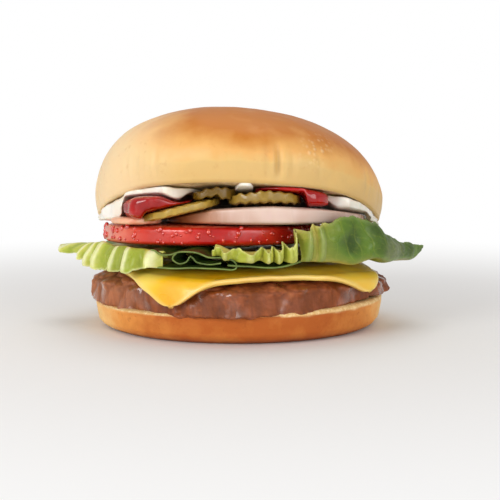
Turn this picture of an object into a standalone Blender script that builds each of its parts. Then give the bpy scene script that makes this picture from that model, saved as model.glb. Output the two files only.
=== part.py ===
"""Cheeseburger: two bun halves, patty, cheese, lettuce, tomato, onion, pickles and sauces."""

import math

import bmesh
import bpy
from mathutils import Vector

MM = 0.001
GAP = 0.3

BUN_RADIUS = 50.0
BUN_FOOT_RADIUS = 44.5
BUN_BOTTOM_HEIGHT = 9.9
BUN_BOTTOM_LEAN = 0.018
BUN_TOP_TILT = math.tan(math.radians(9.0))
BUN_TOP_CUT = 41.7
BUN_TOP_LEAN = 0.02
BUN_TOP_DROOP = 7.6
BUN_TOP_LIFT = 1.6
BUN_TOP_LIFT_WIDTH = 27.0
BUN_TOP_LIP = 7.0
BUN_TOP_DOME = 24.0
BUN_TOP_SHIFT = 3.8

PATTY_RADIUS = 50.0
PATTY_CORNERS = 0.043
PATTY_TOP = 21.6
PATTY_SHOULDER = 2.2

CHEESE_SIDE = 82.0
CHEESE_THICK = 1.8
CHEESE_CORNER_PULL = 0.08
CHEESE_TURN = math.radians(20.0)
CHEESE_CENTRE = (-1.0, -6.5)
CHEESE_BEND = 4.0
CHEESE_HANG = math.radians(80.0)

LEAF_THICK = 0.8

TOMATO_RADIUS = 37.5
TOMATO_THICK = 7.0
TOMATO_CENTRE = (-8.8, -5.0)
TOMATO_TILT = 0.052
TOMATO_BASE = 28.0

ONION_RADIUS = 33.5
ONION_CENTRE = (9.0, -11.5)
ONION_THICK = 3.8

PICKLE_WAVE = 6.5


def clear_scene():
    for ob in list(bpy.data.objects):
        bpy.data.objects.remove(ob, do_unlink=True)
    for mesh in list(bpy.data.meshes):
        bpy.data.meshes.remove(mesh)


def new_collection(name):
    group = bpy.data.collections.new(name)
    bpy.context.scene.collection.children.link(group)
    return group


def surface_material(name, colour, roughness):
    mat = bpy.data.materials.new(name)
    mat.use_nodes = True
    shader = mat.node_tree.nodes["Principled BSDF"]
    shader.inputs["Base Color"].default_value = (*colour, 1.0)
    shader.inputs["Roughness"].default_value = roughness
    shader.inputs["Metallic"].default_value = 0.0
    mat.diffuse_color = (*colour, 1.0)
    return mat


def add_piece(name, bm, colour, roughness):
    """Turn a mesh in millimetres into a named object in metres."""
    bmesh.ops.scale(bm, vec=(MM, MM, MM), verts=bm.verts)
    mesh = bpy.data.meshes.new(name)
    bm.to_mesh(mesh)
    bm.free()
    ob = bpy.data.objects.new(name, mesh)
    food.objects.link(ob)
    mesh.materials.append(surface_material(name, colour, roughness))
    return ob


def soft_step(low, high, value):
    t = min(1.0, max(0.0, (value - low) / (high - low)))
    return t * t * (3.0 - 2.0 * t)


def mix(a, b, t):
    return a + (b - a) * t


def along(points, t):
    """Smooth value at t along a list of (position, value) pairs."""
    for left, right in zip(points, points[1:]):
        if t <= right[0]:
            return mix(left[1], right[1], soft_step(left[0], right[0], t))
    return points[-1][1]


def round_body(profile, segments, place):
    """Closed body from a ball: each ring of the ball goes to a step of the profile."""
    bm = bmesh.new()
    count = len(profile) - 1
    bmesh.ops.create_uvsphere(bm, u_segments=segments, v_segments=count, radius=1.0)
    for vert in bm.verts:
        ring = round(math.acos(max(-1.0, min(1.0, vert.co.z))) / math.pi * count)
        angle = math.atan2(vert.co.y, vert.co.x)
        reach, level = profile[ring]
        vert.co = place(angle, reach, level)
    return bm


def slab_profile(steps, sharpness):
    """Rings of a rounded slab: reach from 0 to 1, level from 1 on top to -1 below."""
    rings = []
    for i in range(steps + 1):
        turn = math.pi * i / steps
        reach = math.sin(turn) ** (2.0 / sharpness)
        level = math.copysign(abs(math.cos(turn)) ** (2.0 / sharpness), math.cos(turn))
        rings.append((reach if 0 < i < steps else 0.0, level))
    return rings


def sheet_body(columns, rows, place):
    """Open sheet from a grid; place takes two shares from 0 to 1."""
    bm = bmesh.new()
    bmesh.ops.create_grid(bm, x_segments=columns, y_segments=rows, size=0.5)
    for vert in bm.verts:
        vert.co = place(vert.co.x + 0.5, vert.co.y + 0.5)
    return bm


def thicken(ob, thickness):
    layer = ob.modifiers.new("thickness", "SOLIDIFY")
    layer.thickness = thickness * MM
    layer.offset = 0.0
    layer.use_even_offset = False


# heights of the layers

def bun_bottom_top(x, y):
    return BUN_BOTTOM_HEIGHT + BUN_BOTTOM_LEAN * x


def patty_reach(angle):
    lumps = 0.9 * math.sin(7.0 * angle + 1.0) + 0.6 * math.sin(11.0 * angle)
    return PATTY_RADIUS * (1.0 + PATTY_CORNERS * math.cos(4.0 * angle)) + 0.6 * lumps


def patty_top(x, y):
    fall = 2.2 if x > 0.0 else 1.2
    shoulder = PATTY_SHOULDER * soft_step(38.0, 51.0, math.hypot(x, y))
    return PATTY_TOP - fall * (x / 50.0) ** 2 - shoulder


def tomato_bottom(x, y):
    return TOMATO_BASE - TOMATO_TILT * y


def tomato_top(x, y):
    return tomato_bottom(x, y) + TOMATO_THICK


def left_pickle_middle(x, y):
    return 42.2 + 0.234 * (x + 18.0) - 0.05 * (y + 44.0)


def onion_top(x, y):
    slope = 0.06 * y + 0.04 * abs(x - 11.0) + 0.035 * max(0.0, x - 25.0)
    flat = tomato_top(x, y) + GAP + ONION_THICK - slope
    return max(tomato_top(x, y) + 0.9, min(flat, left_pickle_middle(x, y) - 2.1))


def bun_top_cut(x, y):
    lift = BUN_TOP_LIFT * math.exp(-(x * x + (y + 50.0) ** 2) / (2.0 * BUN_TOP_LIFT_WIDTH ** 2))
    return BUN_TOP_CUT - x * BUN_TOP_LEAN - y * BUN_TOP_TILT - BUN_TOP_DROOP * (x / 50.0) ** 6 + lift


# pieces from the bottom up

def build_bun_bottom():
    profile = [(0.0, 1.0), (0.4, 1.0), (0.75, 1.0), (0.985, 1.0), (1.0, 0.93), (0.992, 0.6), (0.982, 0.3)]
    profile += [(0.955, 0.12), (0.915, 0.025), (0.89, 0.0), (0.5, 0.0), (0.0, 0.0)]

    def place(angle, reach, level):
        x = BUN_RADIUS * reach * math.cos(angle)
        y = BUN_RADIUS * reach * math.sin(angle)
        return Vector((x, y, level * bun_bottom_top(x, y)))

    bm = round_body(profile, 36, place)
    add_piece("bun_bottom", bm, (0.60, 0.29, 0.07), 0.6)


def build_patty():
    def place(angle, reach, level):
        x = patty_reach(angle) * reach * math.cos(angle)
        y = patty_reach(angle) * reach * math.sin(angle)
        low = bun_bottom_top(x, y) + GAP
        high = patty_top(x, y)
        return Vector((x, y, mix(low, high, 0.5 + 0.5 * level)))

    bm = round_body(slab_profile(8, 4.6)[:5] + slab_profile(8, 9.0)[5:], 40, place)
    add_piece("patty", bm, (0.13, 0.05, 0.025), 0.5)


def build_cheese():
    def place(u, v):
        across = 2.0 * u - 1.0
        deep = 2.0 * v - 1.0
        pull = 1.0 - CHEESE_CORNER_PULL * abs(across * deep) ** 3
        flat_x = 0.5 * across * pull * CHEESE_SIDE
        flat_y = 0.5 * deep * pull * CHEESE_SIDE
        x = CHEESE_CENTRE[0] + flat_x * math.cos(CHEESE_TURN) - flat_y * math.sin(CHEESE_TURN)
        y = CHEESE_CENTRE[1] + flat_x * math.sin(CHEESE_TURN) + flat_y * math.cos(CHEESE_TURN)
        reach = math.hypot(x, y)
        angle = math.atan2(y, x)
        edge = patty_reach(angle) - 2.2
        over = max(0.0, reach - edge)
        bend = min(over / CHEESE_BEND, CHEESE_HANG)
        rest = max(0.0, over - bend * CHEESE_BEND)
        inner = min(reach, edge)
        out = inner + CHEESE_BEND * math.sin(bend) + rest * math.cos(CHEESE_HANG)
        drop = CHEESE_BEND * (1.0 - math.cos(bend)) + rest * math.sin(CHEESE_HANG)
        x = out * math.cos(angle)
        y = out * math.sin(angle)
        z = patty_top(inner * math.cos(angle), inner * math.sin(angle)) + GAP + 0.5 * CHEESE_THICK - drop
        return Vector((x, y, z + 0.15))

    bm = sheet_body(15, 15, place)
    ob = add_piece("cheese_slice", bm, (0.95, 0.50, 0.05), 0.35)
    thicken(ob, CHEESE_THICK)


def build_leaf(name, colour, columns, rows, path, inner, waves):
    """Leaf running from under the tomato to the rim; path gives rim steps for a share along it."""
    def place(u, v):
        angle, rim = path(u)
        count = len(rim) - 1
        spot = min(max(0.0, v * 2.0 - 1.0), 1.0) * count
        step = min(int(spot), count - 1)
        share = spot - step
        reach = mix(rim[step][0], rim[step + 1][0], share)
        z = mix(rim[step][1], rim[step + 1][1], share)
        if v < 0.5:
            reach = mix(inner, rim[0][0], v * 2.0)
            z = mix(25.2, rim[0][1], v * 2.0)
        wave = math.sin(math.tau * waves * u) * soft_step(0.45, 1.0, v)
        reach += 1.1 * wave
        z += 0.5 * wave
        return Vector((reach * math.cos(angle), reach * math.sin(angle), z))

    bm = sheet_body(columns, rows, place)
    ob = add_piece(name, bm, colour, 0.5)
    thicken(ob, LEAF_THICK)


def left_leaf_path(u):
    angle = math.radians(mix(-192.0, -118.5, u))
    reach = along([(0.0, 57.0), (0.08, 63.4), (0.16, 62.0), (0.3, 55.5), (0.5, 53.0), (1.0, 52.6)], u)
    low = along([(0.0, 24.5), (0.1, 25.5), (0.25, 24.0), (0.45, 21.2), (0.8, 21.6), (1.0, 24.0)], u)
    high = along([(0.0, 25.8), (0.2, 27.4), (0.5, 29.4), (1.0, 29.4)], u)
    crest = mix(47.0, reach, 0.5)
    return angle, [(46.0, mix(25.8, high, 0.4)), (crest, high), (reach - 0.4, mix(low, high, 0.5)), (reach, low)]


def fold_leaf_path(u):
    angle = math.radians(mix(-117.0, -93.5, u))
    high = along([(0.0, 30.0), (0.5, 29.3), (1.0, 28.6)], u)
    return angle, [(47.5, 24.9), (50.8, 24.4), (52.4, 26.0), (51.6, high)]


def frill_leaf_path(u):
    angle = math.radians(mix(-92.0, -68.5, u))
    high = along([(0.0, 29.6), (0.2, 31.8), (0.45, 29.6), (0.7, 32.4), (1.0, 31.0)], u)
    return angle, [(47.0, 25.6), (50.4, 26.2), (51.6, 28.4), (50.6, high)]


def right_leaf_path(u):
    angle = math.radians(mix(-67.0, 2.0, u))
    low = along([(0.0, 26.1), (0.45, 25.2), (0.7, 23.6), (0.8, 22.6), (0.92, 24.6), (1.0, 24.8)], u)
    high = along([(0.0, 37.2), (0.1, 38.6), (0.2, 39.9), (0.3, 40.4), (0.42, 39.0), (0.54, 33.6), (0.66, 30.6), (0.85, 27.8), (1.0, 26.6)], u)
    reach = along([(0.0, 52.2), (0.3, 54.6), (0.6, 57.0), (0.78, 60.0), (0.9, 62.6), (1.0, 57.0)], u)
    upright = soft_step(2.0, 9.0, high - low)
    crest = reach + mix(2.4, -1.2, upright)
    return angle, [(reach - 5.0, low + 0.3), (reach, low + 0.6), (reach + 1.0, mix(low, high, 0.5)), (crest, high)]


def back_leaf_path(u):
    angle = math.radians(mix(6.0, 164.0, u))
    reach = 53.0 + 1.4 * math.sin(9.0 * angle)
    lift = 1.0 * math.sin(14.0 * angle)
    return angle, [(44.0, 24.9), (48.5, 25.3 + 0.3 * lift), (reach, 25.0 + lift), (reach + 1.6, 24.2 + lift)]


def build_lettuce():
    build_leaf("lettuce_left", (0.45, 0.58, 0.12), 24, 8, left_leaf_path, 16.0, 7.0)
    build_leaf("lettuce_fold", (0.10, 0.24, 0.03), 10, 8, fold_leaf_path, 16.0, 2.0)
    build_leaf("lettuce_frill", (0.50, 0.60, 0.15), 12, 8, frill_leaf_path, 16.0, 3.0)
    build_leaf("lettuce_right", (0.22, 0.40, 0.06), 22, 8, right_leaf_path, 16.0, 5.0)
    build_leaf("lettuce_back", (0.22, 0.40, 0.06), 30, 5, back_leaf_path, 16.0, 9.0)


def build_slice(name, centre, radius, bottom, top, sharpness, segments, steps, colour, roughness):
    """Flat round slice between two heights, with a softly uneven outline."""
    def place(angle, reach, level):
        span = radius(angle) * reach
        x = centre[0] + span * math.cos(angle)
        y = centre[1] + span * math.sin(angle)
        return Vector((x, y, mix(bottom(x, y), top(x, y), 0.5 + 0.5 * level)))

    bm = round_body(slab_profile(steps, sharpness), segments, place)
    return add_piece(name, bm, colour, roughness)


def build_tomato():
    def radius(angle):
        return TOMATO_RADIUS + 0.35 * math.sin(5.0 * angle + 0.6)

    build_slice("tomato_slice", TOMATO_CENTRE, radius, tomato_bottom, tomato_top, 7.0, 36, 8, (0.62, 0.03, 0.015), 0.3)


def build_onion():
    def radius(angle):
        return ONION_RADIUS + 0.5 * math.sin(3.0 * angle + 0.4)

    def bottom(x, y):
        return tomato_top(x, y) + GAP

    build_slice("onion_slice", ONION_CENTRE, radius, bottom, onion_top, 7.0, 36, 8, (0.85, 0.68, 0.66), 0.35)


def crinkle(along_value):
    return 0.4 * math.sin(math.tau * along_value / PICKLE_WAVE)


def left_pickle_top(x, y):
    return left_pickle_middle(x, y) + 1.4


def left_ketchup_top(x, y):
    flat = min(47.2 - 0.13 * (y + 44.0), bun_top_cut(x, y) - 1.8)
    return mix(left_pickle_top(x, y) + 1.0, flat, soft_step(17.0, 25.0, -x))


def right_pickle_top(x, y):
    low = onion_top(x, y) + 0.35
    high = bun_top_cut(x, y) - mix(1.75, 1.35, soft_step(4.0, 8.0, x))
    return mix(low, high, mix(0.86, 0.95, soft_step(0.0, 10.0, x)))


def build_pickles():
    green = (0.20, 0.22, 0.03)

    def left_radius(angle):
        return 12.2 + 0.3 * math.sin(6.0 * angle)

    def left_low(x, y):
        return left_pickle_middle(x, y) - 1.5 + 0.5 * crinkle(x + y)

    def left_high(x, y):
        return left_pickle_top(x, y) - 0.2 + 0.5 * crinkle(x + y)

    build_slice("pickle_left", (-18.3, -31.8), left_radius, left_low, left_high, 7.0, 28, 6, green, 0.35)

    def middle_radius(angle):
        return 6.3 + 0.4 * math.cos(2.0 * angle + 1.0)

    def middle_low(x, y):
        return left_pickle_top(x, y) + 0.35

    def middle_high(x, y):
        return max(middle_low(x, y) + 0.6, min(middle_low(x, y) + 3.0, bun_top_cut(x, y) - GAP - 0.05))

    build_slice("pickle_middle", (-7.4, -35.8), middle_radius, middle_low, middle_high, 5.0, 24, 6, green, 0.35)

    def right_radius(angle):
        return 10.9 + 0.3 * math.sin(7.0 * angle)

    def right_low(x, y):
        return onion_top(x, y) + 0.35

    build_slice("pickle_right", (8.9, -34.6), right_radius, right_low, right_pickle_top, 7.0, 28, 6, green, 0.35)


def build_ketchup():
    red = (0.42, 0.02, 0.008)

    def left_radius(angle):
        return 10.2 + 0.5 * math.sin(3.0 * angle + 1.0) + 0.4 * math.sin(5.0 * angle)

    def left_low(x, y):
        over = left_pickle_top(x, y) + 0.3
        beside = tomato_top(x, y) + 0.6
        return mix(over, beside, soft_step(31.6, 34.6, -x))

    build_slice("ketchup_left", (-26.4, -32.8), left_radius, left_low, left_ketchup_top, 3.4, 28, 6, red, 0.25)

    def right_radius(angle):
        return 9.0 + 2.2 * math.cos(2.0 * angle) + 0.5 * math.sin(3.0 * angle)

    def right_low(x, y):
        over_pickle = right_pickle_top(x, y) + 0.3
        beside = onion_top(x, y) + 0.5
        return mix(over_pickle, beside, soft_step(23.0, 27.0, x))

    def right_high(x, y):
        return bun_top_cut(x, y) - GAP - 0.05

    build_slice("ketchup_right", (17.4, -33.4), right_radius, right_low, right_high, 4.0, 28, 6, red, 0.25)


def mayonnaise_reach(angle):
    turn = math.degrees(angle)
    front = soft_step(-114.0, -108.5, turn) * (1.0 - soft_step(-52.0, -43.0, turn))
    tongue = math.exp(-((turn + 87.0) / 5.0) ** 4)
    side = 47.6 + 0.4 * math.sin(7.0 * angle) + 0.3 * math.sin(4.0 * angle + 1.0)
    return mix(side, mix(20.0, 46.0, tongue), front)


def mayonnaise_bottom(x, y):
    """Thin under the bun, thick at the rim where it fills the gap down to the slices."""
    thin = bun_top_cut(x, y) - GAP - 0.95
    reach = math.hypot(x, y)
    low = thin
    if x < -12.0:
        over_ketchup = min(thin, left_ketchup_top(x, y) + 0.35)
        over_tomato = min(thin, tomato_top(x, y) + 0.35)
        low = mix(thin, over_ketchup, soft_step(34.0, 41.0, reach) * soft_step(14.0, 18.0, -x))
        low = mix(low, over_tomato, soft_step(38.2, 40.5, -x))
    elif x > 12.0:
        over_onion = min(thin, onion_top(x, y) + 1.0 - 3.0 * soft_step(43.5, 46.5, x))
        low = mix(thin, over_onion, soft_step(29.3, 32.3, x))
    beside_onion = soft_step(36.5, 42.0, math.hypot(x - ONION_CENTRE[0], y - ONION_CENTRE[1]))
    beside_tomato = soft_step(35.0, 38.0, math.hypot(x - TOMATO_CENTRE[0], y - TOMATO_CENTRE[1]))
    slices = mix(onion_top(x, y), tomato_top(x, y), beside_onion) + 0.5
    return mix(low, min(low, slices), soft_step(4.0, 14.0, y) * (1.0 - beside_tomato))


def build_mayonnaise():
    def top(x, y):
        return bun_top_cut(x, y) - GAP - 0.15

    build_slice("mayonnaise", (0.0, 0.0), mayonnaise_reach, mayonnaise_bottom, top, 6.0, 60, 8, (0.85, 0.82, 0.74), 0.4)


def build_bun_top():
    dome = [(math.sin(math.radians(a)), math.cos(math.radians(a))) for a in (0, 16, 31, 46, 60, 72, 82, 90)]
    lip = [(0.998, -0.3), (0.988, -0.65), (0.972, -0.88), (0.95, -1.0), (0.89, -1.0), (0.8, -1.0), (0.6, -1.0), (0.0, -1.0)]

    def place(angle, reach, level):
        x = BUN_RADIUS * reach * math.cos(angle)
        y = BUN_RADIUS * reach * math.sin(angle)
        lip = BUN_TOP_LIP + 1.6 * (x / 50.0) ** 6
        lift = lip * (1.0 + min(0.0, level))
        rise = BUN_TOP_DOME * max(0.0, level)
        shift = BUN_TOP_SHIFT * max(0.0, level) ** 2
        return Vector((x - shift, y, bun_top_cut(x, y) + lift + rise))

    bm = round_body(dome + lip, 40, place)
    add_piece("bun_top", bm, (0.62, 0.30, 0.07), 0.5)


clear_scene()
food = new_collection("cheeseburger")
build_bun_bottom()
build_patty()
build_cheese()
build_lettuce()
build_tomato()
build_onion()
build_pickles()
build_ketchup()
build_mayonnaise()
build_bun_top()
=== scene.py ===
import math
import random

import bmesh
import bpy
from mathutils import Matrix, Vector, noise


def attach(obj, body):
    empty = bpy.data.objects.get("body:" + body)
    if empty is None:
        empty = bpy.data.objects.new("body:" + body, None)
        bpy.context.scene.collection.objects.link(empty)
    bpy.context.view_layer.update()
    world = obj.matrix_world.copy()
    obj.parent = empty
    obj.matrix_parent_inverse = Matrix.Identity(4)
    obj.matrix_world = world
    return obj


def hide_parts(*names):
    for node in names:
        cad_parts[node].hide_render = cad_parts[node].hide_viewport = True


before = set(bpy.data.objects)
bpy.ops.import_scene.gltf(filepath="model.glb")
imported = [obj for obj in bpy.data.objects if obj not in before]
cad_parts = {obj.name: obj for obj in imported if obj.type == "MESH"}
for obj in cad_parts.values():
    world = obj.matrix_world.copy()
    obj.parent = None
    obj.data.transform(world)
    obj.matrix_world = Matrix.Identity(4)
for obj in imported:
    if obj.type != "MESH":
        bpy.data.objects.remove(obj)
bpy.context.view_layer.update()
mm = 0.001
print("frame loaded")


def softStep(low, high, value):
    t = min(1.0, max(0.0, (value - low) / (high - low)))
    return t * t * (3.0 - 2.0 * t)


def mix(a, b, t):
    return a + (b - a) * t


def along(points, t):
    for left, right in zip(points, points[1:]):
        if t <= right[0]:
            return mix(left[1], right[1], softStep(left[0], right[0], t))
    return points[-1][1]


def wobble(x, y, z, size, seed=0.0):
    return noise.noise(Vector((x / size + seed, y / size - seed, z / size + 2.0 * seed)))


def bumps(x, y, z, size, seed=0.0):
    # rounded lumps with creases between them, from 0 in a crease to about 1
    near = noise.voronoi(Vector((x / size + seed, y / size, z / size - seed)))[0]
    return min(1.0, (near[1] - near[0]) * 1.6)


def onCircle(centre, span, angle):
    return centre[0] + span * math.cos(angle), centre[1] + span * math.sin(angle)


def pushedOut(x, y, z, swell, angle, reach):
    return Vector((x + swell * math.cos(angle) * reach, y + swell * math.sin(angle) * reach, z))


def distanceTo(centre, x, y):
    return math.hypot(x - centre[0], y - centre[1])


def srgb(r, g, b):
    # a colour as seen on screen, 0 to 255, turned to the linear value that sockets take
    def lin(c):
        c = c / 255.0
        return c / 12.92 if c <= 0.04045 else ((c + 0.055) / 1.055) ** 2.4
    return (lin(r), lin(g), lin(b), 1.0)


def roundBody(profile, segments, place, marks=()):
    # a ball whose rings go to the steps of a profile; place gives a position and the mark values
    bm = bmesh.new()
    count = len(profile) - 1
    bmesh.ops.create_uvsphere(bm, u_segments=segments, v_segments=count, radius=1.0)
    layers = [bm.verts.layers.float.new(name) for name in marks]
    for vert in bm.verts:
        ring = round(math.acos(max(-1.0, min(1.0, vert.co.z))) / math.pi * count)
        reach, level = profile[ring]
        spot, values = place(math.atan2(vert.co.y, vert.co.x), reach, level)
        vert.co = spot
        for layer, value in zip(layers, values):
            vert[layer] = value
    return bm


def slabProfile(steps, sharpness):
    rings = []
    for i in range(steps + 1):
        turn = math.pi * i / steps
        reach = math.sin(turn) ** (2.0 / sharpness) if 0 < i < steps else 0.0
        rings.append((reach, math.copysign(abs(math.cos(turn)) ** (2.0 / sharpness), math.cos(turn))))
    return rings


def sheetBody(columns, rows, place, marks=()):
    # a flat grid bent into a leaf or slice, with its own UV map
    bm = bmesh.new()
    bmesh.ops.create_grid(bm, x_segments=columns, y_segments=rows, size=0.5)
    layers = [bm.verts.layers.float.new(name) for name in marks]
    uvLayer = bm.loops.layers.uv.new("flat")
    for face in bm.faces:
        for loop in face.loops:
            loop[uvLayer].uv = (loop.vert.co.x + 0.5, loop.vert.co.y + 0.5)
    for vert in bm.verts:
        spot, values = place(vert.co.x + 0.5, vert.co.y + 0.5)
        vert.co = spot
        for layer, value in zip(layers, values):
            vert[layer] = value
    return bm


def addPiece(name, bm, material, nodes=()):
    bmesh.ops.scale(bm, vec=(mm, mm, mm), verts=bm.verts)
    for face in bm.faces:
        face.smooth = True
    mesh = bpy.data.meshes.new(name)
    bm.to_mesh(mesh)
    bm.free()
    piece = bpy.data.objects.new(name, mesh)
    bpy.context.scene.collection.objects.link(piece)
    mesh.materials.append(material)
    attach(piece, "root")
    if nodes:
        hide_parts(*nodes)
    return piece


def addThickness(piece, thickness):
    layer = piece.modifiers.new("thickness", "SOLIDIFY")
    layer.thickness = thickness * mm
    layer.offset = 0.0
    layer.use_even_offset = False


def newMaterial(name):
    material = bpy.data.materials.new(name)
    material.use_nodes = True
    return material, material.node_tree, material.node_tree.nodes["Principled BSDF"]


def addNode(tree, kind, settings=None, inputs=None):
    node = tree.nodes.new(kind)
    for key, value in (settings or {}).items():
        setattr(node, key, value)
    for key, value in (inputs or {}).items():
        if isinstance(value, bpy.types.NodeSocket):
            tree.links.new(value, node.inputs[key])
        else:
            node.inputs[key].default_value = value
    return node


def objectCoords(tree, stretch=(1.0, 1.0, 1.0)):
    coords = addNode(tree, "ShaderNodeTexCoord").outputs["Object"]
    return addNode(tree, "ShaderNodeMapping", None, {"Vector": coords, "Scale": stretch}).outputs["Vector"]


def noiseOf(tree, coords, scale, detail=3.0, rough=0.5, distortion=0.0):
    inputs = {"Vector": coords, "Scale": scale, "Detail": detail, "Roughness": rough,
              "Distortion": distortion}
    return addNode(tree, "ShaderNodeTexNoise", None, inputs).outputs["Fac"]


def markOf(tree, name):
    return addNode(tree, "ShaderNodeAttribute", {"attribute_name": name}).outputs["Fac"]


def rangeOf(tree, value, low, high, toLow=0.0, toHigh=1.0):
    inputs = {"Value": value, "From Min": low, "From Max": high, "To Min": toLow, "To Max": toHigh}
    return addNode(tree, "ShaderNodeMapRange", {"interpolation_type": "SMOOTHSTEP"}, inputs).outputs["Result"]


def mathOf(tree, operation, a, b=0.0):
    return addNode(tree, "ShaderNodeMath", {"operation": operation}, {0: a, 1: b}).outputs["Value"]


def blend(tree, share, a, b):
    # the numbers are the colour sockets of a mix node: factor, A, B and result
    return addNode(tree, "ShaderNodeMix", {"data_type": "RGBA"}, {0: share, 6: a, 7: b}).outputs[2]


def tintMark(tree, mark, share, under, colour):
    # a colour laid over another where a mark on the mesh says so
    return blend(tree, mathOf(tree, "MULTIPLY", markOf(tree, mark), share), under, colour)


def paint(tree, shader, colour):
    tree.links.new(colour, shader.inputs["Base Color"])


def rampOf(tree, value, stops):
    node = addNode(tree, "ShaderNodeValToRGB", None, {"Fac": value})
    ramp = node.color_ramp
    while len(ramp.elements) < len(stops):
        ramp.elements.new(0.5)
    for element, (place, colour) in zip(ramp.elements, stops):
        element.position = place
        element.color = colour
    return node.outputs["Color"]


def addBump(tree, shader, height, strength, distance):
    inputs = {"Height": height, "Strength": strength, "Distance": distance * mm}
    node = addNode(tree, "ShaderNodeBump", None, inputs)
    tree.links.new(node.outputs["Normal"], shader.inputs["Normal"])


def setSurface(shader, roughness, specular=0.5, sub=0.0, subScale=1.5, subRadius=(1.0, 0.5, 0.25),
               coat=0.0, coatRough=0.1):
    shader.inputs["Roughness"].default_value = roughness
    shader.inputs["Specular IOR Level"].default_value = specular
    shader.inputs["Subsurface Weight"].default_value = sub
    shader.inputs["Subsurface Scale"].default_value = subScale * mm
    shader.inputs["Subsurface Radius"].default_value = subRadius
    shader.inputs["Coat Weight"].default_value = coat
    shader.inputs["Coat Roughness"].default_value = coatRough


def makeUnevenGloss():
    # roughness that drifts softly over a moist surface, shared by everything wet
    group = bpy.data.node_groups.new("unevenGloss", "ShaderNodeTree")
    for name, start in (("Size", 100.0), ("Wettest", 0.2), ("Driest", 0.5)):
        socket = group.interface.new_socket(name=name, in_out="INPUT", socket_type="NodeSocketFloat")
        socket.default_value = start
    group.interface.new_socket(name="Roughness", in_out="OUTPUT", socket_type="NodeSocketFloat")
    groupIn = group.nodes.new("NodeGroupInput")
    groupOut = group.nodes.new("NodeGroupOutput")
    drift = noiseOf(group, objectCoords(group), groupIn.outputs["Size"], 2.0, 0.5, 0.4)
    inputs = {"Value": drift, "From Min": 0.3, "From Max": 0.7,
              "To Min": groupIn.outputs["Wettest"], "To Max": groupIn.outputs["Driest"]}
    spread = addNode(group, "ShaderNodeMapRange", None, inputs)
    group.links.new(spread.outputs["Result"], groupOut.inputs["Roughness"])
    return group


unevenGloss = makeUnevenGloss()


def addGloss(tree, shader, size, wettest, driest):
    node = addNode(tree, "ShaderNodeGroup", {"node_tree": unevenGloss})
    node.inputs["Size"].default_value = size
    node.inputs["Wettest"].default_value = wettest
    node.inputs["Driest"].default_value = driest
    tree.links.new(node.outputs["Roughness"], shader.inputs["Roughness"])


# heights of the layers in millimetres; the cut is the underside of the upper bun
layers = {"gap": 0.06, "bunBottomHeight": 9.9, "bunBottomLean": 0.018, "pattyTop": 21.6, "shoulder": 2.2,
          "tomatoBase": 28.0, "tomatoTilt": 0.052, "tomatoThick": 7.0, "onionThick": 3.8,
          "cutHeight": 41.7, "cutLean": 0.02, "cutTilt": math.tan(math.radians(9.0)), "cutDroop": 7.6,
          "cutLift": 1.6, "cutLiftWidth": 27.0}


def bunBottomTop(x, y):
    return layers["bunBottomHeight"] + layers["bunBottomLean"] * x


def pattyReach(angle):
    lumps = 0.9 * math.sin(7.0 * angle + 1.0) + 0.6 * math.sin(11.0 * angle)
    return 50.0 * (1.0 + 0.043 * math.cos(4.0 * angle)) + 0.6 * lumps


def pattyTop(x, y):
    shoulder = layers["shoulder"] * softStep(38.0, 51.0, math.hypot(x, y))
    return layers["pattyTop"] - (2.2 if x > 0.0 else 1.2) * (x / 50.0) ** 2 - shoulder


def tomatoBottom(x, y):
    return layers["tomatoBase"] - layers["tomatoTilt"] * y


def tomatoTop(x, y):
    return tomatoBottom(x, y) + layers["tomatoThick"]


def leftPickleMiddle(x, y):
    return 42.2 + 0.234 * (x + 18.0) - 0.05 * (y + 44.0)


def onionTop(x, y):
    slope = 0.06 * y + 0.04 * abs(x - 11.0) + 0.035 * max(0.0, x - 25.0)
    flat = tomatoTop(x, y) + layers["gap"] + layers["onionThick"] - slope
    return max(tomatoTop(x, y) + 0.9, min(flat, leftPickleMiddle(x, y) - 1.9))


def bunTopCut(x, y):
    lift = layers["cutLift"] * math.exp(-(x * x + (y + 50.0) ** 2) / (2.0 * layers["cutLiftWidth"] ** 2))
    plane = layers["cutHeight"] - x * layers["cutLean"] - y * layers["cutTilt"]
    return plane - layers["cutDroop"] * (x / 50.0) ** 6 + lift


bun = {"radius": 50.0, "lip": 7.0, "dome": 24.0, "shift": 3.8, "segments": 400,
       "blisterX": 24.5, "blisterZ": 60.5, "blisterSpread": 16.0,
       "cream": srgb(218, 180, 114), "golden": srgb(228, 172, 98), "brown": srgb(190, 112, 24),
       "crumb": srgb(250, 225, 175), "blister": srgb(250, 216, 164), "sideLight": srgb(244, 196, 124),
       "side": srgb(182, 94, 32), "sideDark": srgb(160, 78, 26), "foot": srgb(132, 66, 28)}


def bunTopProfile():
    # dome, side of the lip, round edge and flat cut, from the top down
    dome = [math.radians(i * 1.5) for i in range(61)]
    side = [i / 10.0 for i in range(1, 11)]
    edge = [math.radians(i * 15.0) for i in range(1, 7)]
    rings = [(math.sin(t), math.cos(t)) for t in dome]
    rings += [(mix(1.0, 0.985, t * t), -0.72 * t) for t in side]
    rings += [(0.985 - 0.035 * (1.0 - math.cos(t)), -0.72 - 0.28 * math.sin(t)) for t in edge]
    rings += [(0.94 * (1.0 - i / 14.0), -1.0) for i in range(1, 15)]
    return rings


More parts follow.
